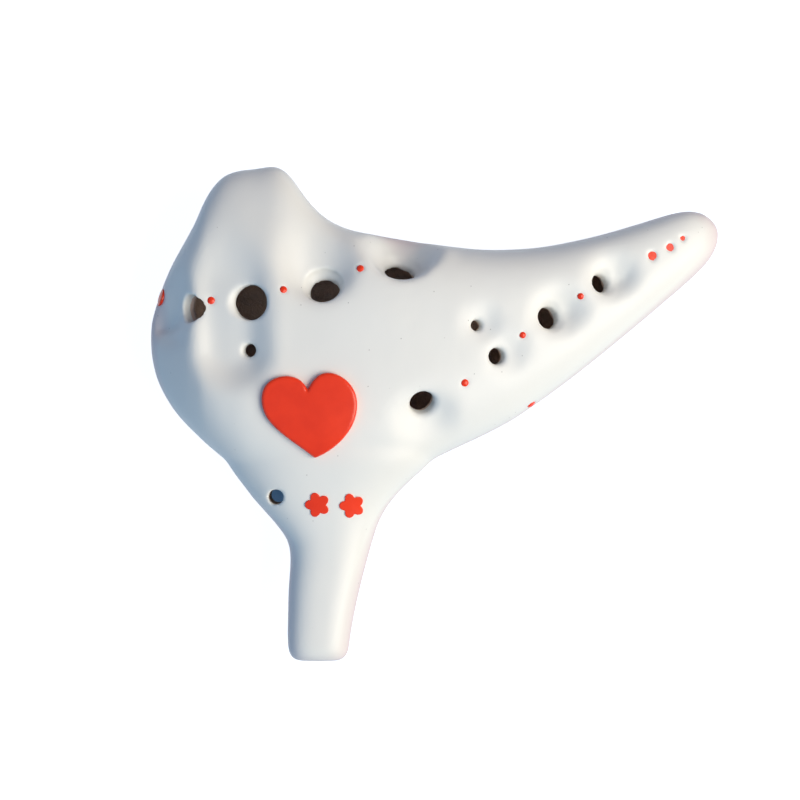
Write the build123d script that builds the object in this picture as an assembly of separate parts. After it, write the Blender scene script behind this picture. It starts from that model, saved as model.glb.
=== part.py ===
from build123d import *
import math
import os

# ---------------------------------------------------------------------------
# Twelve-hole sweet-potato ocarina, alto C, glazed clay.
# Frame: +X along the body towards the tail, +Y away from the player,
# +Z out of the finger-hole side.  z = 0 is the flat rest patch on the belly.
# All sizes in millimetres.
# ---------------------------------------------------------------------------

WALL = 5.5              # clay wall between chamber and outer skin
PLATE_POWER = 2.6       # superellipse power of the broad part of the body
TAIL_POWER = 2.1        # the tail is nearly round
FAR_SQUARE = 0.7        # the far edge is squarer than the near one
TAIL_START_X = 20.0     # where the section begins to turn round
TAIL_END_X = 95.0

# Stations along the body: x, far edge y, near edge y, front height, back depth.
# Heights are measured from the parting plane of the two shells.
STATIONS = [
    (-62.7, 3.6, 3.6, 0.0, 0.0),
    (-61.2, 12.9, -7.2, 5.0, 4.6),
    (-58.5, 20.1, -13.5, 8.9, 7.8),
    (-54.0, 27.4, -20.1, 13.9, 11.4),
    (-49.5, 31.0, -24.8, 18.2, 14.2),
    (-45.0, 33.3, -29.0, 21.0, 16.2),
    (-36.0, 35.4, -35.8, 22.6, 18.9),
    (-27.0, 36.0, -39.6, 22.7, 20.2),
    (-18.0, 36.3, -41.3, 22.5, 20.9),
    (-9.0, 36.2, -41.4, 22.4, 21.3),
    (0.0, 35.1, -40.2, 22.1, 21.5),
    (9.0, 33.6, -37.8, 21.6, 21.4),
    (18.0, 32.1, -34.6, 20.9, 20.9),
    (27.0, 30.9, -30.3, 20.1, 19.7),
    (36.0, 30.0, -26.1, 19.1, 18.6),
    (45.0, 30.0, -21.4, 17.9, 17.3),
    (54.0, 30.7, -15.4, 16.6, 15.9),
    (63.0, 32.3, -8.8, 15.2, 14.4),
    (72.0, 34.4, -1.7, 13.7, 12.9),
    (81.0, 37.0, 5.7, 12.2, 11.4),
    (90.0, 39.8, 13.3, 10.7, 10.0),
    (94.5, 41.0, 17.1, 9.8, 9.2),
    (99.0, 41.5, 21.1, 8.5, 8.1),
    (103.5, 40.3, 25.6, 6.3, 6.1),
    (107.4, 34.5, 34.5, 0.0, 0.0),
]
BODY_LEFT = STATIONS[0][0]
BODY_RIGHT = STATIONS[-1][0]
BODY_MIDDLE = (BODY_LEFT + BODY_RIGHT) / 2
BODY_HALF = (BODY_RIGHT - BODY_LEFT) / 2

PATCH_CUT = 0.5         # depth of clay rubbed off the belly for the rest patch
BELLY_DEPTH = max(row[4] for row in STATIONS)
PARTING_Z = BELLY_DEPTH - PATCH_CUT

# Finger fin on the far edge: x, height above the body edge.
FIN = [
    (-60.0, 0.0),
    (-54.0, 1.8),
    (-49.5, 6.2),
    (-45.0, 13.4),
    (-40.5, 17.2),
    (-36.0, 18.0),
    (-31.5, 18.2),
    (-27.0, 18.6),
    (-22.5, 17.4),
    (-18.0, 11.6),
    (-13.5, 6.0),
    (-9.0, 2.4),
    (-4.5, 0.7),
    (0.0, 0.0),
]
FIN_FRONT = 17.0        # the fin stands this thick to the front
FIN_BACK = 8.0          # and this thick to the back
FIN_BLUNT = 5.0         # power of its rounded shoulder

# Mouthpiece: y, left x, right x, top height, bottom depth (from the parting plane).
NECK_STATIONS = [
    (-93.0, -18.4, -6.4, 4.2, -5.0),
    (-92.4, -19.9, -5.0, 5.6, -6.4),
    (-91.0, -21.0, -3.9, 6.7, -7.5),
    (-88.0, -21.6, -3.2, 7.4, -8.2),
    (-80.0, -21.6, -1.9, 7.8, -9.2),
    (-70.0, -21.3, 0.3, 8.3, -10.7),
    (-62.0, -20.9, 2.4, 9.1, -12.0),
    (-57.0, -21.9, 3.8, 10.0, -12.9),
    (-53.0, -24.5, 5.1, 11.0, -13.7),
    (-49.0, -27.9, 6.9, 12.2, -14.6),
    (-45.0, -31.5, 9.6, 13.6, -15.3),
    (-41.0, -34.6, 13.2, 15.0, -15.9),
    (-37.0, -37.6, 17.5, 16.4, -16.4),
    (-33.0, -40.0, 21.5, 17.7, -16.8),
    (-29.0, -41.0, 23.0, 18.2, -17.0),
    (-25.0, -39.0, 20.0, 18.4, -17.0),
]
NECK_POWER = 2.7        # rounded-rectangle section of the mouthpiece
NECK_JOIN_Y = -52.5     # butt joint between shells and mouthpiece


def curve_value(rows, column, x, parameter):
    """Catmull-Rom value of one table column at x."""
    if x <= rows[0][0]:
        return rows[0][column]
    if x >= rows[-1][0]:
        return rows[-1][column]
    i = 0
    while rows[i + 1][0] < x:
        i += 1
    t0 = parameter(rows[i][0])
    t1 = parameter(rows[i + 1][0])
    v0 = rows[i][column]
    v1 = rows[i + 1][column]
    if i > 0:
        m0 = (v1 - rows[i - 1][column]) / (t1 - parameter(rows[i - 1][0]))
    else:
        m0 = (v1 - v0) / (t1 - t0)
    if i + 2 < len(rows):
        m1 = (rows[i + 2][column] - v0) / (parameter(rows[i + 2][0]) - t0)
    else:
        m1 = (v1 - v0) / (t1 - t0)
    s = (parameter(x) - t0) / (t1 - t0)
    span = t1 - t0
    a = (2 * s**3 - 3 * s**2 + 1) * v0
    b = (s**3 - 2 * s**2 + s) * span * m0
    c = (-2 * s**3 + 3 * s**2) * v1
    d = (s**3 - s**2) * span * m1
    return a + b + c + d


def end_angle(x):
    """Angle that runs evenly round both blunt ends of the body."""
    ratio = (BODY_MIDDLE - x) / BODY_HALF
    return math.acos(max(-1.0, min(1.0, ratio)))


def straight(x):
    return x


# ---------------------------------------------------------------------------
# Hollows pressed round the finger holes: two ends of the press, radius, depth
# and sharpness (a larger power gives a flatter floor and a steeper wall).
# ---------------------------------------------------------------------------
SCOOPS = {
    "left_little": ((-56.6, 13.2), (-56.4, 10.2), 7.8, 5.6, 3.0),
    "left_ring": ((-38.4, 19.0), (-37.6, -1.0), 9.9, 4.9, 3.8),
    "left_middle": ((-12.4, 25.2), (-12.4, 25.2), 9.0, 7.0, 2.9),
    "left_index": ((12.2, 30.0), (12.2, 30.0), 8.8, 8.0, 4.2),
    "right_index": ((19.6, -21.3), (19.6, -21.3), 7.5, 3.1, 2.8),
    "right_middle_sub": ((36.6, 7.9), (36.6, 7.9), 4.7, 1.5, 2.4),
    "right_middle": ((43.8, -1.6), (43.8, -1.6), 5.3, 1.5, 2.4),
    "right_ring": ((59.3, 11.0), (59.3, 11.0), 6.4, 3.4, 2.6),
    "right_little": ((75.1, 21.9), (75.1, 21.9), 6.1, 3.7, 2.6),
}
PRESS_THROUGH = 0.8     # share of a hollow that shows inside the chamber

# Tone holes on the finger side: x, y, diameter.
FINGER_HOLES = {
    "left_little": (-50.2, 12.0, 8.2),
    "left_ring": (-32.1, 13.7, 10.4),
    "left_ring_sub": (-32.4, -0.4, 4.0),
    "left_middle": (-10.3, 17.6, 9.0),
    "left_index": (12.0, 23.1, 9.0),
    "right_index": (18.6, -16.0, 7.4),
    "right_middle_sub": (34.6, 7.0, 3.4),
    "right_middle": (40.6, -2.1, 5.0),
    "right_ring": (55.9, 9.4, 6.6),
    "right_little": (71.5, 19.7, 5.6),
}
# Thumb holes on the belly side: x, y, diameter.
THUMB_HOLES = {
    "left_thumb": (-25.0, 4.0, 10.0),
    "right_thumb": (49.0, 5.5, 9.0),
}
RIM_ROUND = 0.6         # rounding of the clay at each hole rim
RIM_REACH = 1.2         # bevel beyond the rounding
BORE_DEPTH = WALL + 4.0
BORE_CLEAR = 4.0        # the bore tool stands this far out of the skin

CORD_HOLE_X = -24.7
CORD_HOLE_Y = -43.7
CORD_HOLE_D = 4.6

# Windway and voicing, z measured from the parting plane.
WINDWAY_X = -11.5
WINDWAY_WIDTH = 12.5
WINDWAY_HEIGHT = 1.7
WINDWAY_MOUTH_Y = -93.0
WINDWAY_MOUTH_Z = -0.6
WINDWAY_EXIT_Y = -27.5
WINDWAY_FALL = 0.23     # drop per millimetre towards the body
WINDOW_LENGTH = 6.0
LABIUM_RAMP = 11.0
LABIUM_SLOPE = 26.0     # degrees, outside face
LABIUM_RELIEF = 20.0    # degrees, chamber face
LABIUM_EDGE = 0.8
LABIUM_RUN = 6.0

# Red glaze dots in the rows: x, y, diameter.
ROW_DOTS = {
    "dot_left_1": (-43.6, 14.3, 2.2),
    "dot_left_2": (-22.1, 17.4, 2.1),
    "dot_left_3": (0.3, 23.7, 2.1),
    "dot_right_1": (31.1, -10.0, 2.2),
    "dot_right_2": (48.1, 4.1, 1.9),
    "dot_right_3": (65.3, 15.6, 1.9),
    "dot_side_left": (-59.7, 15.7, 5.2),
    "dot_side_right": (51.2, -16.5, 2.6),
}
# Sunken dots on the tail: x, y, diameter.
TAIL_DOTS = {
    "tail_dot_large": (86.9, 27.8, 2.8),
    "tail_dot_medium": (92.2, 30.3, 2.5),
    "tail_dot_small": (96.1, 33.1, 1.9),
}
DOT_RISE = 0.35         # how far a row dot stands proud
DOT_BED = 0.8           # how deep each dot sits in the clay
TAIL_DOT_SINK = 0.4     # tail dots lie below the skin
PUNCH_CLEAR = 2.0       # the punch for a dot's pocket stands this far out

HEART_RISE = 2.3
HEART_EDGE = 0.8
HEART_LEFT = [(-15.0, -12.2), (-20.7, -8.0), (-27.3, -10.7), (-28.3, -17.0), (-22.8, -24.7), (-13.1, -32.1)]
HEART_RIGHT = [(-13.1, -32.1), (-4.6, -26.3), (-1.2, -20.6), (-1.5, -12.0), (-7.8, -7.1), (-15.0, -12.2)]

BLOSSOM_CENTRES = {"blossom_left": (-12.4, -46.0), "blossom_right": (-2.2, -46.3)}
BLOSSOM_PETALS = 5
PETAL_LENGTH = 3.5
PETAL_WIDTH = 2.9
PETAL_OFFSET = 2.0
BLOSSOM_EYE = 1.8
BLOSSOM_RISE = 0.35

SKIN_SECTIONS = 62
SKIN_POINTS = 48
CORE_SECTIONS = 44
CORE_POINTS = 36
NECK_POINTS = 40
HALF_OVERLAP = math.radians(12)     # each half is lofted past the parting plane
HALVINGS = 26           # steps of the search for a point of the skin
RING_POINTS = 12        # skin points round a hole or dot that set its tilt


# ---------------------------------------------------------------------------
# Body skin as a formula: x along the body, theta round it (0 far edge, 90 front).
# ---------------------------------------------------------------------------
def station(x, shrink):
    """Centre y, half width, front height, back depth and power at x."""
    turn = end_angle(x)
    inset = shrink * math.sin(turn)
    far = curve_value(STATIONS, 1, x, end_angle)
    near = curve_value(STATIONS, 2, x, end_angle)
    front = curve_value(STATIONS, 3, x, end_angle) - inset
    back = curve_value(STATIONS, 4, x, end_angle) - inset
    half = (far - near) / 2 - inset
    blend = max(0.0, min(1.0, (x - TAIL_START_X) / (TAIL_END_X - TAIL_START_X)))
    power = PLATE_POWER + (TAIL_POWER - PLATE_POWER) * blend
    return (far + near) / 2, half, front, back, power


def plain_point(x, theta, shrink=0.0):
    """Point of the plain body, without fin or hollows."""
    centre, half, front, back, power = station(x, shrink)
    c = math.cos(theta)
    s = math.sin(theta)
    height = front if s > 0 else back
    if c > 0:
        power += FAR_SQUARE
    reach = (abs(c / half) ** power + abs(s / height) ** power) ** (-1 / power)
    shift = shrink * math.cos(end_angle(x))
    return Vector(x + shift, centre + reach * c, reach * s)


def front_theta(x, y):
    """Angle on the front of the plain body that lies over plan point (x, y)."""
    low = 0.0
    high = math.pi
    for _ in range(HALVINGS):
        middle = (low + high) / 2
        if plain_point(x, middle).Y > y:
            low = middle
        else:
            high = middle
    return (low + high) / 2


SCOOP_ENDS = []
for first, second, radius, depth, power in SCOOPS.values():
    p = plain_point(first[0], front_theta(*first))
    q = plain_point(second[0], front_theta(*second))
    SCOOP_ENDS.append((p, q, radius, depth, power))


def dent(point):
    """Depth of the pressed hollows at a point of the plain skin."""
    total = 0.0
    for p, q, radius, depth, power in SCOOP_ENDS:
        run = q - p
        along = 0.0
        if run.length > 0:
            along = max(0.0, min(1.0, (point - p).dot(run) / run.length**2))
        away = (point - (p + run * along)).length
        total += depth * math.exp(-((away / radius) ** power))
    return total


def skin_point(x, theta):
    """Point of the finished outer skin."""
    base = plain_point(x, theta)
    outward = Vector(0, math.cos(theta), math.sin(theta))
    point = base
    if math.sin(theta) > 0:
        point = base - outward * dent(base)
    if math.cos(theta) > 0:
        thick = FIN_FRONT if base.Z > 0 else FIN_BACK
        rise = curve_value(FIN, 1, x, straight)
        point += Vector(0, rise * math.exp(-(abs(base.Z / thick) ** FIN_BLUNT)), 0)
    return point


def core_point(x, theta):
    """Point of the chamber wall, which follows the pressed hollows."""
    base = plain_point(x, theta)
    outward = Vector(0, math.cos(theta), math.sin(theta))
    press = dent(base) * PRESS_THROUGH if math.sin(theta) > 0 else 0.0
    return plain_point(x, theta, WALL) - outward * press


def half_loft(function, sections, points, start):
    """Solid lofted through the sections of one half of the body, from angle start."""
    wires = []
    first = start - HALF_OVERLAP
    sweep = math.pi + 2 * HALF_OVERLAP
    marks = [j / points for j in range(points + 1)]
    for i in range(sections):
        turn = math.pi * (i + 0.5) / sections
        x = BODY_MIDDLE - BODY_HALF * math.cos(turn)
        arc = [function(x, first + sweep * j / points) for j in range(points + 1)]
        chord = Edge.make_line(arc[-1], arc[0])
        wires.append(Wire([Edge.make_spline(arc, parameters=marks), chord]))
    return Solid.make_loft(wires)


def neck_point(y, angle, grow=0.0):
    """Point of the mouthpiece skin in the section at y."""
    left = curve_value(NECK_STATIONS, 1, y, straight) - grow
    right = curve_value(NECK_STATIONS, 2, y, straight) + grow
    top = curve_value(NECK_STATIONS, 3, y, straight) + grow
    bottom = curve_value(NECK_STATIONS, 4, y, straight) - grow
    c = math.cos(angle)
    s = math.sin(angle)
    half = (right - left) / 2
    rise = (top - bottom) / 2
    reach = (abs(c / half) ** NECK_POWER + abs(s / rise) ** NECK_POWER) ** (-1 / NECK_POWER)
    return Vector((left + right) / 2 + reach * c, y, (top + bottom) / 2 + reach * s)


def neck_loft(grow=0.0):
    """Mouthpiece and its flared root as one lofted solid."""
    wires = []
    marks = [j / NECK_POINTS for j in range(NECK_POINTS + 1)]
    for row in NECK_STATIONS:
        ring = [neck_point(row[0], 2 * math.pi * j / NECK_POINTS, grow) for j in range(NECK_POINTS)]
        wires.append(Wire([Edge.make_spline(ring, periodic=True, parameters=marks)]))
    return Solid.make_loft(wires)


# ---------------------------------------------------------------------------
# Outer skin, chamber and windway.
# ---------------------------------------------------------------------------
def side_prism(outline, width):
    """Prism of a y-z outline, centred on the windway."""
    wire = Wire.make_polygon([Vector(WINDWAY_X - width / 2, y, z) for y, z in outline])
    return Solid.extrude(Face(wire), Vector(width, 0, 0))


def windway_z(y):
    """Middle height of the windway at y."""
    return WINDWAY_MOUTH_Z - (y - WINDWAY_MOUTH_Y) * WINDWAY_FALL


neck = neck_loft()
front_outer = half_loft(skin_point, SKIN_SECTIONS, SKIN_POINTS, 0.0) + neck
front_core = half_loft(core_point, CORE_SECTIONS, CORE_POINTS, 0.0)
back_outer = half_loft(skin_point, SKIN_SECTIONS, SKIN_POINTS, math.pi) + neck
back_core = half_loft(core_point, CORE_SECTIONS, CORE_POINTS, math.pi)

mouth_y = WINDWAY_MOUTH_Y - 2.0
window_end_y = WINDWAY_EXIT_Y + WINDOW_LENGTH
half_slot = WINDWAY_HEIGHT / 2
slot = side_prism(
    [
        (mouth_y, windway_z(mouth_y) + half_slot),
        (WINDWAY_EXIT_Y + 0.5, windway_z(WINDWAY_EXIT_Y + 0.5) + half_slot),
        (WINDWAY_EXIT_Y + 0.5, windway_z(WINDWAY_EXIT_Y + 0.5) - half_slot),
        (mouth_y, windway_z(mouth_y) - half_slot),
    ],
    WINDWAY_WIDTH,
)
window = side_prism(
    [
        (WINDWAY_EXIT_Y, -8.0),
        (window_end_y, -8.0),
        (window_end_y, -40.0),
        (WINDWAY_EXIT_Y, -40.0),
    ],
    WINDWAY_WIDTH,
)
labium_z = windway_z(window_end_y)
ramp_drop = LABIUM_RAMP * math.tan(math.radians(LABIUM_SLOPE))
relief_rise = LABIUM_RUN * math.tan(math.radians(LABIUM_RELIEF))
ramp = side_prism(
    [
        (window_end_y, labium_z),
        (window_end_y + LABIUM_RAMP, labium_z - ramp_drop),
        (window_end_y + LABIUM_RAMP, -40.0),
        (window_end_y, -40.0),
    ],
    WINDWAY_WIDTH,
)
relief = side_prism(
    [
        (window_end_y, labium_z + LABIUM_EDGE),
        (window_end_y + LABIUM_RUN, labium_z + LABIUM_EDGE + relief_rise),
        (window_end_y + LABIUM_RUN, -8.0),
        (window_end_y, -8.0),
    ],
    WINDWAY_WIDTH,
)


# ---------------------------------------------------------------------------
# Tone holes with rounded rims, square to the pressed skin.
# ---------------------------------------------------------------------------
def surface_theta(x, y, front):
    """Angle of the finished skin over plan point (x, y)."""
    low = 0.0
    high = math.pi
    sign = 1 if front else -1
    for _ in range(HALVINGS):
        middle = (low + high) / 2
        if skin_point(x, sign * middle).Y > y:
            low = middle
        else:
            high = middle
    return sign * (low + high) / 2


def skin_at(x, y, front=True):
    return skin_point(x, surface_theta(x, y, front))


def skin_plane(x, y, reach, front=True):
    """Plane touching the skin at plan point (x, y), tilted as a ring of skin points."""
    centre = skin_at(x, y, front)
    normal = Vector(0, 0, 1 if front else -1)
    for _ in range(3):
        across = Vector(0, 1, 0).cross(normal).normalized() * reach
        upward = normal.cross(across)
        ring = []
        for j in range(RING_POINTS):
            angle = 2 * math.pi * j / RING_POINTS
            spoke = across * math.cos(angle) + upward * math.sin(angle)
            ring.append(skin_at(x + spoke.X, y + spoke.Y, front))
        middle = sum(ring, Vector(0, 0, 0)) / RING_POINTS
        normal = Vector(0, 0, 0)
        for j in range(RING_POINTS):
            normal += (ring[j - 1] - middle).cross(ring[j] - middle)
        normal = normal.normalized()
    return Plane(origin=centre, x_dir=across, z_dir=normal)


def hole_cutter(x, y, radius, front=True):
    """Straight bore that opens out in a rounded rim."""
    plane = skin_plane(x, y, radius + RIM_ROUND / 2, front)
    bevel = RIM_ROUND * (1 - math.cos(math.radians(45)))
    quarter = math.radians(22.5)
    lip = Vector(radius + bevel, 0, -bevel)
    brim = lip + Vector(RIM_REACH, 0, RIM_REACH)
    mid_arc = Vector(
        radius + RIM_ROUND * (1 - math.cos(quarter)), 0, RIM_ROUND * (math.sin(quarter) - 1)
    )
    foot = Vector(radius, 0, -BORE_DEPTH)
    neck = Vector(radius, 0, -RIM_ROUND)
    lid = Vector(brim.X, 0, BORE_CLEAR)
    profile = Wire(
        [
            Edge.make_line(Vector(0, 0, -BORE_DEPTH), foot),
            Edge.make_line(foot, neck),
            Edge.make_three_point_arc(neck, mid_arc, lip),
            Edge.make_line(lip, brim),
            Edge.make_line(brim, lid),
            Edge.make_line(lid, Vector(0, 0, BORE_CLEAR)),
            Edge.make_line(Vector(0, 0, BORE_CLEAR), Vector(0, 0, -BORE_DEPTH)),
        ]
    )
    return Solid.revolve(Face(profile), 360, Axis.Z).moved(plane.location)


finger_cutters = []
for x, y, diameter in FINGER_HOLES.values():
    finger_cutters.append(hole_cutter(x, y, diameter / 2))
thumb_cutters = []
for x, y, diameter in THUMB_HOLES.values():
    thumb_cutters.append(hole_cutter(x, y, diameter / 2, False))
cord_bore = Cylinder(CORD_HOLE_D / 2, 80).moved(Location((CORD_HOLE_X, CORD_HOLE_Y, 0)))


# ---------------------------------------------------------------------------
# Dots of red glaze, each bedded in its own pocket.
# ---------------------------------------------------------------------------
def row_dot(plane, diameter):
    """Low dome standing proud on a short plug."""
    r = diameter / 2
    ball = (r**2 + DOT_RISE**2) / (2 * DOT_RISE)
    base = (Align.CENTER, Align.CENTER, Align.MIN)
    plug = Pos(0, 0, -DOT_BED) * Cylinder(r, DOT_BED + DOT_RISE * 2, align=base)
    dome = Pos(0, 0, DOT_RISE - ball) * Sphere(ball)
    return (plug & dome).solids()[0].moved(plane.location)


def punch(plane, diameter, low, high):
    """Round tool square to the skin, between two heights."""
    base = (Align.CENTER, Align.CENTER, Align.MIN)
    tool = Pos(0, 0, low) * Cylinder(diameter / 2, high - low, align=base)
    return tool.solids()[0].moved(plane.location)


dots = {}
pockets = []
for name, (x, y, diameter) in ROW_DOTS.items():
    seat = skin_plane(x, y, diameter / 2)
    dots[name] = row_dot(seat, diameter)
    pockets.append(punch(seat, diameter, -DOT_BED, PUNCH_CLEAR))
for name, (x, y, diameter) in TAIL_DOTS.items():
    seat = skin_plane(x, y, diameter / 2)
    floor = -TAIL_DOT_SINK - DOT_BED
    dots[name] = punch(seat, diameter, floor, -TAIL_DOT_SINK)
    pockets.append(punch(seat, diameter, floor, PUNCH_CLEAR))


# ---------------------------------------------------------------------------
# Heart and blossoms: outlines cut from a slightly grown copy of the skin.
# ---------------------------------------------------------------------------
def grown_point(x, theta):
    """Skin without hollows, grown evenly for the raised heart."""
    return plain_point(x, theta, -HEART_RISE)


heart_outline = Wire(
    [
        Edge.make_spline([Vector(x, y, 0) for x, y in HEART_LEFT]),
        Edge.make_spline([Vector(x, y, 0) for x, y in HEART_RIGHT]),
    ]
)
heart_prism = Solid.extrude(Face(heart_outline), Vector(0, 0, 60))
grown_skin = half_loft(grown_point, CORE_SECTIONS, CORE_POINTS, 0.0)
heart_blank = (heart_prism & grown_skin) - front_outer
heart_top = heart_blank.faces().sort_by(Axis.Z)[-1]
heart = heart_blank.fillet(HEART_EDGE, heart_top.edges())

painted_neck = neck_loft(BLOSSOM_RISE)
blossoms = {}
for name, (x, y) in BLOSSOM_CENTRES.items():
    flower = Cylinder(BLOSSOM_EYE / 2, 60, align=(Align.CENTER, Align.CENTER, Align.MIN))
    for k in range(BLOSSOM_PETALS):
        turn = 360 / BLOSSOM_PETALS * (k + 0.5)
        petal = Rot(0, 0, turn) * Pos(PETAL_OFFSET, 0) * Ellipse(PETAL_LENGTH / 2, PETAL_WIDTH / 2)
        flower += extrude(petal, 60)
    blossoms[name] = (Pos(x, y, 0) * flower & painted_neck) - neck


# ---------------------------------------------------------------------------
# Hollow body, cut into the pieces that are joined slip to slip.
# ---------------------------------------------------------------------------
def block(y_low, y_high, z_low, z_high):
    """Wide block used to part the body."""
    size = Vector(400, y_high - y_low, z_high - z_low)
    corner = Vector(-200, y_low, z_low)
    return Solid.make_box(size.X, size.Y, size.Z).moved(Location(corner))


def cut(piece, tools):
    """One piece with a list of tools taken away from it."""
    for tool in tools:
        piece = piece - tool
    return piece


roof_low = windway_z(-200) + half_slot
roof_high = windway_z(NECK_JOIN_Y) + half_slot
above_windway = Solid.extrude(
    Face(Wire.make_polygon([
        Vector(-200, -200, roof_low),
        Vector(-200, NECK_JOIN_Y, roof_high),
        Vector(-200, NECK_JOIN_Y, 100),
        Vector(-200, -200, 100),
    ])),
    Vector(400, 0, 0),
)
mouth_half = neck & block(-200, NECK_JOIN_Y, -100, 100)
front_half = (front_outer & block(NECK_JOIN_Y, 200, 0, 100)) - front_core
back_half = (back_outer & block(NECK_JOIN_Y, 200, -100, 0)) - back_core
below_patch = block(-200, 200, -100, -PARTING_Z)

nodes = {}
nodes["mouthpiece_upper"] = (mouth_half & above_windway) - slot
nodes["mouthpiece_lower"] = (mouth_half - above_windway) - slot
nodes["front_shell"] = cut(front_half, [cord_bore] + finger_cutters + pockets)
nodes["back_shell"] = cut(
    back_half, [slot, window, ramp, relief, cord_bore] + thumb_cutters + [below_patch]
)
nodes["heart"] = heart
nodes.update(dots)
nodes.update(blossoms)

os.makedirs("parts", exist_ok=True)
for name, shape in nodes.items():
    solid = shape.solids()[0].moved(Location((0, 0, PARTING_Z)))
    export_step(solid, f"parts/{name}.step")
    centre = solid.center(CenterOf.MASS)
    print(f"{name}: {solid.volume:.1f} mm3, solids {len(shape.solids())}, valid {solid.is_valid}")
    print(f"  centre {centre.X:.1f} {centre.Y:.1f} {centre.Z:.1f}, {solid.bounding_box()}")
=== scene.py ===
# %% [markdown]
# # A glazed clay ocarina
# A sweet-potato ocarina is a hollow egg of clay with a mouthpiece on its side.
# The solids come finished from the CAD model. What is left is what the potter's
# thumb and the kiln do to them: joints are wiped over with wet clay, edges melt
# round, and a thick white glaze covers the outside and runs a little way into
# each hole, where it stops and bare brown clay begins.

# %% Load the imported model
import math

import bpy
import numpy as np
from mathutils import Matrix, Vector
from mathutils.bvhtree import BVHTree


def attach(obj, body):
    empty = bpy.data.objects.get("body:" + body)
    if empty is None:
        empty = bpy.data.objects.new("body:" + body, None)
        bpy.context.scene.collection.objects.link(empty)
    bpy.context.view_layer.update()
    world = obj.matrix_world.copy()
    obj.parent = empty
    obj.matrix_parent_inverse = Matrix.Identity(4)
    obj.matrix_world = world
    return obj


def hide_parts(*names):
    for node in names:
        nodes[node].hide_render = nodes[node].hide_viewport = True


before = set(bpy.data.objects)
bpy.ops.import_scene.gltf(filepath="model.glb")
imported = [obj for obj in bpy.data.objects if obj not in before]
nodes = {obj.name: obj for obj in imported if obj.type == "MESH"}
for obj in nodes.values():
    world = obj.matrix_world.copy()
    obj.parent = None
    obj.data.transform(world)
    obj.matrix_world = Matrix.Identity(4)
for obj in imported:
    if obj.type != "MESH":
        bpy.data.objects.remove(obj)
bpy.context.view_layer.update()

# %% [markdown]
# ## Camera
# The instrument lies on its belly and is seen from straight above. A longish
# lens from 0.9 m keeps the outline true, as a catalogue picture of it would.
# Blender's camera looks down its own -Z with +Y up, so it needs no turning.

# %% Camera straight above
MM = 0.001
PARTING_Z = 21.0 * MM
VIEW_WIDTH = 240 * MM
VIEW_MIDDLE = (12 * MM, -15 * MM)
CAMERA_RISE = 900 * MM
SENSOR_WIDTH = 36.0
NEAR_CLIP = 10 * MM
camera_data = bpy.data.cameras.new("camera")
camera_data.sensor_width = SENSOR_WIDTH
camera_data.lens = SENSOR_WIDTH * CAMERA_RISE / VIEW_WIDTH
camera_data.clip_start = NEAR_CLIP
camera = bpy.data.objects.new("camera", camera_data)
camera.location = (*VIEW_MIDDLE, PARTING_Z + CAMERA_RISE)
bpy.context.scene.collection.objects.link(camera)
bpy.context.scene.camera = camera
print("lens mm:", round(camera_data.lens, 1))

# %% [markdown]
# ## One skin of clay
# Two pressed half shells and two mouthpiece strips are joined with slip, and the
# potter wipes the joints until the clay is one skin. Bevels on each piece would
# leave grooves at the joints, so copies of the four pieces are joined, remeshed
# into one skin of even small faces, and smoothed, which also rounds every rim.

# %% Select helper and working copies
WELD = 0.002 * MM


def only(*objects):
    """Select these objects and nothing else; the last is active."""
    bpy.ops.object.select_all(action="DESELECT")
    for obj in objects:
        obj.select_set(True)
    bpy.context.view_layer.objects.active = objects[-1]


def merged_copy(title, *names):
    """One welded mesh from copies of CAD nodes, which stay as they are."""
    copies = []
    for name in names:
        twin = nodes[name].copy()
        twin.data = nodes[name].data.copy()
        bpy.context.scene.collection.objects.link(twin)
        copies.append(twin)
    only(*copies)
    if len(copies) > 1:
        bpy.ops.object.join()
    piece = bpy.context.object
    piece.name = title
    bpy.ops.object.mode_set(mode="EDIT")
    bpy.ops.mesh.select_all(action="SELECT")
    bpy.ops.mesh.remove_doubles(threshold=WELD)
    bpy.ops.object.mode_set(mode="OBJECT")
    return piece


CLAY = ["front_shell", "back_shell", "mouthpiece_upper", "mouthpiece_lower"]
skin = merged_copy("clay_skin", *CLAY)
print("welded clay:", len(skin.data.vertices), "points")

# %% Remesh and wipe smooth
WIPE = 0.5


def remesh(piece, voxel, rounds):
    """Even small faces all over, then a light wipe that rounds the edges."""
    only(piece)
    bpy.ops.object.modifier_add(type="REMESH")
    even = piece.modifiers[-1]
    even.mode = "VOXEL"
    even.voxel_size = voxel
    even.use_smooth_shade = True
    bpy.ops.object.modifier_apply(modifier=even.name)
    bpy.ops.object.modifier_add(type="SMOOTH")
    wipe = piece.modifiers[-1]
    wipe.factor = WIPE
    wipe.iterations = rounds
    bpy.ops.object.modifier_apply(modifier=wipe.name)


SKIN_FACE = 0.6 * MM
SKIN_ROUNDS = 3
remesh(skin, SKIN_FACE, SKIN_ROUNDS)
print("skin:", len(skin.data.polygons), "faces")

# %% [markdown]
# ## The wiped joint at the mouthpiece root
# Where the mouthpiece grows out of the body the potter adds a coil of clay and
# draws it out with a thumb, so nothing of the joint shows. A second smoothing
# does that. It is held by a vertex group to a band across the root, and keeps
# away from the window on the belly and from the cord hole, whose edges are cut.

# %% Thumb the root of the mouthpiece
def ramp(value, low, high):
    """0 at low, 1 at high, straight between and level past both."""
    return max(0.0, min(1.0, (value - low) / (high - low)))


CORD_HOLE = Vector((-24.7 * MM, -43.7 * MM))
WINDOW_X = -11.5 * MM
WINDOW_TOP = PARTING_Z - 6 * MM
NEAR_FADE = (-52 * MM, -42 * MM)
FAR_FADE = (-20 * MM, -28 * MM)
CORD_FADE = (3 * MM, 6 * MM)
WINDOW_FADE = (8 * MM, 11 * MM)
THUMB_ROUNDS = 60
LEAST_WEIGHT = 0.01


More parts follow.
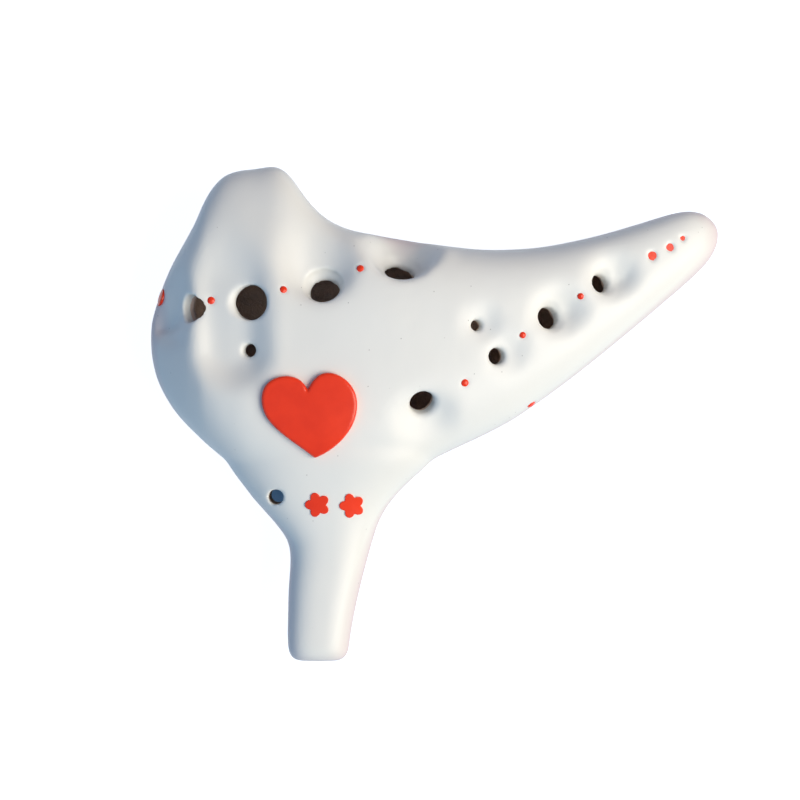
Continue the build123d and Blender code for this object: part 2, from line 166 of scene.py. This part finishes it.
def root_weight(point):
    """How hard the thumb presses at a point of the skin."""
    weight = ramp(point.y, *NEAR_FADE) * ramp(point.y, *FAR_FADE)
    weight *= ramp((point.xy - CORD_HOLE).length, *CORD_FADE)
    if point.z < WINDOW_TOP:
        weight *= ramp(abs(point.x - WINDOW_X), *WINDOW_FADE)
    return weight


band = skin.vertex_groups.new(name="root")
for vertex in skin.data.vertices:
    weight = root_weight(vertex.co)
    if weight > LEAST_WEIGHT:
        band.add([vertex.index], weight, "REPLACE")
only(skin)
bpy.ops.object.modifier_add(type="SMOOTH")
thumb = skin.modifiers[-1]
thumb.factor = WIPE
thumb.iterations = THUMB_ROUNDS
thumb.vertex_group = band.name
bpy.ops.object.modifier_apply(modifier=thumb.name)
print("root band wiped")

# %% [markdown]
# ## How far the glaze runs in
# Glaze covers what the dip can reach: the outside and the first three millimetres
# of each hole. Seven straight lines leave each point of the skin, round its
# normal. A point is outside if most of them meet no clay, so the chamber's floor
# under a hole stays bare. That set is grown along the mesh's edges by the depth
# the glaze runs in, its border is softened, and it is kept as a point attribute
# that the glaze material reads.

# %% Glaze cover as an attribute
GLAZE_RUN = 3.0 * MM
REACH = 60 * MM
STEP_OFF = 0.4 * MM
FAN = 0.8
MOST = 5
SOFT_ROUNDS = 2
AXES = [Vector((0, 0, 0))]
for unit in (Vector((1, 0, 0)), Vector((0, 1, 0)), Vector((0, 0, 1))):
    AXES += [unit, -unit]


def open_to_air(mesh):
    """1 for each point that sees the open along most of a fan of lines."""
    tree = BVHTree.FromPolygons(
        [v.co for v in mesh.vertices], [p.vertices for p in mesh.polygons]
    )
    answer = np.zeros(len(mesh.vertices))
    for vertex in mesh.vertices:
        start = vertex.co + vertex.normal * STEP_OFF
        fan = [(vertex.normal + axis * FAN).normalized() for axis in AXES]
        free = sum(tree.ray_cast(start, line, REACH)[0] is None for line in fan)
        answer[vertex.index] = 1.0 if free >= MOST else 0.0
    return answer


def edge_ends(mesh):
    """Both end points of every edge as an array."""
    ends = np.empty(len(mesh.edges) * 2, dtype=np.int32)
    mesh.edges.foreach_get("vertices", ends)
    return ends.reshape(-1, 2)


def grow(values, ends):
    """Each point takes the larger of its own and its neighbours' values."""
    grown = values.copy()
    np.maximum.at(grown, ends[:, 0], values[ends[:, 1]])
    np.maximum.at(grown, ends[:, 1], values[ends[:, 0]])
    return grown


def soften(values, ends):
    """Each point takes the mean of itself and its neighbours."""
    total = values.copy()
    count = np.ones(len(values))
    np.add.at(total, ends[:, 0], values[ends[:, 1]])
    np.add.at(total, ends[:, 1], values[ends[:, 0]])
    np.add.at(count, ends[:, 0], 1)
    np.add.at(count, ends[:, 1], 1)
    return total / count


cover = open_to_air(skin.data)
ends = edge_ends(skin.data)
for _ in range(round(GLAZE_RUN / SKIN_FACE)):
    cover = grow(cover, ends)
for _ in range(SOFT_ROUNDS):
    cover = soften(cover, ends)
layer = skin.data.attributes.new("glaze_cover", "FLOAT", "POINT")
layer.data.foreach_set("value", cover.astype(np.float32))
print("glazed share:", round(float(cover.mean()), 2))

# %% [markdown]
# ## Back to four pieces
# The model keeps the potter's four pieces, so the wiped skin is cut again where
# they meet: level through the body, upright across the root, and along the
# windway roof in the mouthpiece. Bisect cuts a copy and fills the cut, and the
# smooth shading is kept on each side of it.

# %% Cut the skin at its joints
JOINT_Y = -52.5 * MM
ROOF_SLOPE = -0.23
ROOF_Z = PARTING_Z + 0.25 * MM
MOUTH_Y = -93.0 * MM
CUT_WELD = 0.0001 * MM
EDGE_ANGLE = math.radians(50)


def keep_side(piece, point, normal):
    """Cut a piece by a plane and keep what lies on the normal's side."""
    only(piece)
    bpy.ops.object.mode_set(mode="EDIT")
    bpy.ops.mesh.select_all(action="SELECT")
    bpy.ops.mesh.bisect(
        plane_co=point, plane_no=normal, use_fill=True, clear_inner=True, threshold=CUT_WELD
    )
    bpy.ops.object.mode_set(mode="OBJECT")


def share_of_skin(title, node, cuts):
    """A copy of the skin cut down to one of the four pieces."""
    piece = skin.copy()
    piece.data = skin.data.copy()
    piece.name = title
    bpy.context.scene.collection.objects.link(piece)
    for point, normal in cuts:
        keep_side(piece, point, normal)
    only(piece)
    bpy.ops.object.shade_smooth_by_angle(angle=EDGE_ANGLE)
    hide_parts(node)
    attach(piece, "root")
    print(title, len(piece.data.polygons), "faces")
    return piece


level = Vector((0, 0, PARTING_Z))
joint = Vector((0, JOINT_Y, 0))
roof = Vector((0, MOUTH_Y, ROOF_Z))
roof_up = Vector((0, -ROOF_SLOPE, 1)).normalized()
up = Vector((0, 0, 1))
away = Vector((0, 1, 0))
glazed = [
    share_of_skin("glazed_front", "front_shell", [(joint, away), (level, up)]),
    share_of_skin("glazed_back", "back_shell", [(joint, away), (level, -up)]),
    share_of_skin("glazed_mouth_upper", "mouthpiece_upper", [(joint, -away), (roof, roof_up)]),
    share_of_skin("glazed_mouth_lower", "mouthpiece_lower", [(joint, -away), (roof, -roof_up)]),
]
bpy.data.objects.remove(skin)

# %% [markdown]
# ## Raised heart and painted blossoms
# The heart is a slab of clay luted on and dipped in red, so its edge is fat and
# round. The blossoms are thick red glaze put on with a brush. Each is a copy of
# its solid, remeshed finely enough for its size and wiped for more rounds than
# the body, so that its sharp edges melt round.

# %% Soft copies of the raised ornaments
def soft_ornament(title, node, voxel, rounds):
    """Remeshed, rounded stand-in for one raised ornament."""
    piece = merged_copy(title, node)
    remesh(piece, voxel, rounds)
    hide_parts(node)
    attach(piece, "root")
    print(title, len(piece.data.polygons), "faces")
    return piece


HEART_FACE = 0.3 * MM
HEART_ROUNDS = 8
BLOSSOM_FACE = 0.12 * MM
BLOSSOM_ROUNDS = 4
red = [soft_ornament("soft_heart", "heart", HEART_FACE, HEART_ROUNDS)]
for side in ("left", "right"):
    node = "blossom_" + side
    red.append(soft_ornament("soft_" + node, node, BLOSSOM_FACE, BLOSSOM_ROUNDS))

# %% [markdown]
# ## Drops of red glaze
# Each small dot is one drop from a brush, set in a dimple pricked in the clay.
# The drop pulls itself round as it melts, so each copy is wiped a little.

# %% Dots as melted drops
DROP_FACE = 0.1 * MM
DROP_ROUNDS = 3
for node in sorted(name for name in nodes if "dot_" in name):
    red.append(soft_ornament("drop_" + node, node, DROP_FACE, DROP_ROUNDS))
print("red pieces:", len(red))

# %% [markdown]
# ## Helpers for the glazes
# Colours are written as they look, in sRGB hex, and turned linear here. One
# helper adds a node with its settings, and links or sets its inputs by name. The
# others each wrap one kind of node and give back the socket that is used next.

# %% Colour and node helpers
def linear(code):
    """Linear RGBA from an sRGB hex code."""
    values = []
    for start in (0, 2, 4):
        s = int(code[start:start + 2], 16) / 255
        values.append(s / 12.92 if s <= 0.04045 else ((s + 0.055) / 1.055) ** 2.4)
    return (*values, 1.0)


def add(tree, kind, inputs, **settings):
    """A node with its settings; each input gets a value or a link."""
    node = tree.nodes.new(kind)
    for name, value in settings.items():
        setattr(node, name, value)
    for key, value in inputs.items():
        if isinstance(value, bpy.types.NodeSocket):
            tree.links.new(value, node.inputs[key])
        else:
            node.inputs[key].default_value = value
    return node


def new_material(title):
    """Material with its node tree and the shader that it starts with."""
    material = bpy.data.materials.new(title)
    material.use_nodes = True
    tree = material.node_tree
    return material, tree, tree.nodes["Principled BSDF"]


def noise(tree, place, size, detail):
    """Cloudy values about as coarse as size."""
    inputs = {"Vector": place, "Scale": 1 / size, "Detail": detail}
    return add(tree, "ShaderNodeTexNoise", inputs).outputs["Fac"]


def stretch(tree, value, low, high, start=0.0, end=1.0):
    """The range from low to high drawn out to that from start to end."""
    inputs = {"Value": value, "From Min": low, "From Max": high, "To Min": start, "To Max": end}
    return add(tree, "ShaderNodeMapRange", inputs).outputs["Result"]


def maths(tree, operation, *values):
    """One sum on values or sockets."""
    return add(tree, "ShaderNodeMath", dict(enumerate(values)), operation=operation).outputs[0]


def mix(tree, factor, first, second):
    """A colour between two others, each a hex code or a socket."""
    inputs = {"Factor": factor}
    for key, colour in (("A", first), ("B", second)):
        inputs[key] = linear(colour) if isinstance(colour, str) else colour
    return add(tree, "ShaderNodeMix", inputs, data_type="RGBA").outputs["Result"]


def bump(tree, height, distance, **inputs):
    """A surface normal tilted as if height stood out by distance."""
    inputs = {"Height": height, "Distance": distance, "Strength": 1.0, **inputs}
    return add(tree, "ShaderNodeBump", inputs).outputs["Normal"]


print("mid grey reads", round(linear("808080")[0], 2))

# %% [markdown]
# ## White tin glaze over brown clay
# The body is dipped in a white tin glaze: a glassy coat that levels to a shine
# but keeps the slow waves of the hand-pressed clay under it. It turns pinker in
# a band along the moulding seam, and dark grains of the clay show through as
# specks. Inside the holes there is no glaze, only matt brown clay. One material holds both and
# mixes them by the cover attribute,
# with a noise that makes the border wander as poured glaze does.

# %% White glaze: where glaze ends and clay begins
BORDER_WANDER = 2.5 * MM
BORDER = (0.62, 0.86)

white_glaze, tree, shader = new_material("white_tin_glaze")
place = add(tree, "ShaderNodeTexCoord", {}).outputs["Object"]
covered = add(tree, "ShaderNodeAttribute", {}, attribute_name="glaze_cover").outputs["Fac"]
wander = maths(tree, "MULTIPLY_ADD", noise(tree, place, BORDER_WANDER, 2.0), 0.5, covered)
glazed_part = stretch(tree, wander, *BORDER)
print("white glaze border nodes:", len(tree.nodes))

# %% White glaze: colours
MOTTLE = 28.0 * MM
MILK = ("eeefea", "f1f0e7")
SEAM_WIDTH = 7.0 * MM
SEAM_PINK = "dcbfc0"
SPECK_GAP = 4.2 * MM
SPECK_RADIUS = 0.18 * MM
SPECK_FADE = (0.6, 1.3)
SPECK_STRENGTH = 0.5
SPECK_GREY = "77726c"
GRAIN = 0.5 * MM
BARE_CLAY = ("d8bcaa", "e8d0be")

milk = mix(tree, noise(tree, place, MOTTLE, 3.0), *MILK)
height = add(tree, "ShaderNodeSeparateXYZ", {0: place}).outputs["Z"]
from_seam = maths(tree, "ABSOLUTE", maths(tree, "SUBTRACT", height, PARTING_Z))
# Pinker near the parting plane, fading out over SEAM_WIDTH.
seam_tinted = mix(tree, stretch(tree, from_seam, 0.0, SEAM_WIDTH, 1.0, 0.0), milk, SEAM_PINK)
grains = add(tree, "ShaderNodeTexVoronoi", {"Vector": place, "Scale": 1 / SPECK_GAP})
speck_low, speck_high = (share * SPECK_RADIUS / SPECK_GAP for share in SPECK_FADE)
speck_part = stretch(
    tree, grains.outputs["Distance"], speck_low, speck_high, SPECK_STRENGTH, 0.0
)
specked = mix(tree, speck_part, seam_tinted, SPECK_GREY)
grit = noise(tree, place, GRAIN, 3.0)
bare = mix(tree, grit, *BARE_CLAY)
tree.links.new(mix(tree, glazed_part, bare, specked), shader.inputs["Base Color"])
print("with colours:", len(tree.nodes))

# %% White glaze: shine and surface
WAVE = 9.0 * MM
WAVE_HEIGHT = 0.12 * MM
GRAIN_HEIGHT = 0.15 * MM
GLAZE_ROUGHNESS = 0.42
CLAY_ROUGHNESS = 0.85
GLAZE_IOR = 1.5

matt = stretch(tree, glazed_part, 0.0, 1.0, CLAY_ROUGHNESS, GLAZE_ROUGHNESS)
slow = bump(tree, noise(tree, place, WAVE, 1.0), WAVE_HEIGHT)
rough_part = maths(tree, "SUBTRACT", 1.0, glazed_part)
fine = bump(tree, grit, GRAIN_HEIGHT, Strength=rough_part, Normal=slow)
tree.links.new(matt, shader.inputs["Roughness"])
tree.links.new(fine, shader.inputs["Normal"])
shader.inputs["IOR"].default_value = GLAZE_IOR
print("white glaze nodes:", len(tree.nodes))

# %% [markdown]
# ## Red glaze
# The red is a strong orange red glaze laid on thick with a brush. It pools
# deeper in some places than in others, which gives the eye a slow change of
# red under a clear shine.

# %% Red glaze material
POOL = 7.0 * MM
POOL_SPAN = (0.35, 0.65)
POOL_REDS = ("f2360c", "fb3c10")
BRUSH = 3.0 * MM
BRUSH_HEIGHT = 0.05 * MM
RED_ROUGHNESS = 0.3
RED_IOR = 1.52

red_glaze, tree, shader = new_material("brushed_red_glaze")
place = add(tree, "ShaderNodeTexCoord", {}).outputs["Object"]
pooled = stretch(tree, noise(tree, place, POOL, 4.0), *POOL_SPAN)
ripple = bump(tree, noise(tree, place, BRUSH, 2.0), BRUSH_HEIGHT)
tree.links.new(mix(tree, pooled, *POOL_REDS), shader.inputs["Base Color"])
tree.links.new(ripple, shader.inputs["Normal"])
shader.inputs["Roughness"].default_value = RED_ROUGHNESS
shader.inputs["IOR"].default_value = RED_IOR
for piece in glazed:
    piece.data.materials.clear()
    piece.data.materials.append(white_glaze)
for piece in red:
    piece.data.materials.clear()
    piece.data.materials.append(red_glaze)
print("dressed:", len(glazed) + len(red), "pieces")

# %% [markdown]
# ## Light
# One large warm lamp stands on the right, a little towards the player. The room
# fills the rest: cool blue from a window on the left, a dull mauve from behind,
# and little from the lamp's own side, so the glaze shows its form by colour.

# %% Key lamp
KEY_TURN = math.radians(-16)
KEY_RISE = math.radians(47)
KEY_AWAY = 1.1
KEY_POWER = 13.4
KEY_SIZE = 0.9
KEY_WARM = "fff7ec"
KEY_TARGET = Vector((20 * MM, 0, PARTING_Z))
toward = Vector(
    (
        math.cos(KEY_TURN) * math.cos(KEY_RISE),
        math.sin(KEY_TURN) * math.cos(KEY_RISE),
        math.sin(KEY_RISE),
    )
)
key_data = bpy.data.lights.new("key", "AREA")
key_data.size = KEY_SIZE
key_data.energy = KEY_POWER
key_data.color = linear(KEY_WARM)[:3]
key = bpy.data.objects.new("key", key_data)
key.location = KEY_TARGET + toward * KEY_AWAY
key.rotation_euler = toward.to_track_quat("Z", "Y").to_euler()
bpy.context.scene.collection.objects.link(key)
print("key lamp at", [round(v, 2) for v in key.location])

# %% Room
ROOM_STRENGTH = 0.8
WINDOW_BLUE = "76aede"
LAMP_SIDE_GREY = "8e8a86"
BEHIND_MAUVE = "8a7480"
SIDE_SPAN = (-0.8, 0.9)
BEHIND_SPAN = (0.0, 0.9)

world = bpy.data.worlds.new("room")
bpy.context.scene.world = world
world.use_nodes = True
tree = world.node_tree
sky = add(tree, "ShaderNodeTexCoord", {}).outputs["Generated"]
way = add(tree, "ShaderNodeSeparateXYZ", {0: sky})
side = stretch(tree, way.outputs["X"], *SIDE_SPAN)
behind = stretch(tree, way.outputs["Y"], *BEHIND_SPAN)
across = mix(tree, side, WINDOW_BLUE, LAMP_SIDE_GREY)
room = mix(tree, behind, across, BEHIND_MAUVE)
tree.links.new(room, tree.nodes["Background"].inputs["Color"])
tree.nodes["Background"].inputs["Strength"].default_value = ROOM_STRENGTH
bpy.context.scene.view_settings.view_transform = "Standard"
print("room nodes:", len(tree.nodes))

# %% [markdown]
# ## Pale floor
# The instrument lies on a pale grey-blue board. To the camera, and in what
# shines back from the glaze, the board is lifted to white, and the shadow that
# falls on it stays as a faint tone. The lift fades out in a spot under the cord
# hole. This is a painted shadow on the board, so that the hole shows dark board
# instead of a white disc. From low down a little of that painted shadow shows
# beside the body.

# %% Floor
FLOOR_SIZE = 4.0
FLOOR_BLUE = "93a9bd"
FLOOR_ROUGHNESS = 0.9
LIFT = 0.94
PAINTED_SHADOW_CORE = 4 * MM
PAINTED_SHADOW_EDGE = 7 * MM
bpy.ops.object.select_all(action="DESELECT")
bpy.ops.mesh.primitive_plane_add(size=FLOOR_SIZE, location=(0, 0, 0))
floor = bpy.context.object
floor.name = "floor"
board, tree, shader = new_material("pale_matt_board")
shader.inputs["Base Color"].default_value = linear(FLOOR_BLUE)
shader.inputs["Roughness"].default_value = FLOOR_ROUGHNESS
rays = add(tree, "ShaderNodeLightPath", {}).outputs
seen = maths(tree, "MAXIMUM", rays["Is Camera Ray"], rays["Is Glossy Ray"])
shown = maths(tree, "MAXIMUM", seen, rays["Is Transmission Ray"])
place = add(tree, "ShaderNodeTexCoord", {}).outputs["Object"]
gap = add(tree, "ShaderNodeVectorMath", {0: place, 1: (*CORD_HOLE, 0)}, operation="DISTANCE")
# Painted shadow: no lift to white within a few millimetres of the point under the cord hole.
clear = stretch(tree, gap.outputs["Value"], PAINTED_SHADOW_CORE, PAINTED_SHADOW_EDGE, 0.0, LIFT)
lift = maths(tree, "MULTIPLY", shown, clear)
glow = add(tree, "ShaderNodeEmission", {"Color": (1, 1, 1, 1), "Strength": lift})
both = add(tree, "ShaderNodeAddShader", {0: shader.outputs[0], 1: glow.outputs[0]})
tree.links.new(both.outputs[0], tree.nodes["Material Output"].inputs["Surface"])
floor.data.materials.append(board)
print("floor ready")
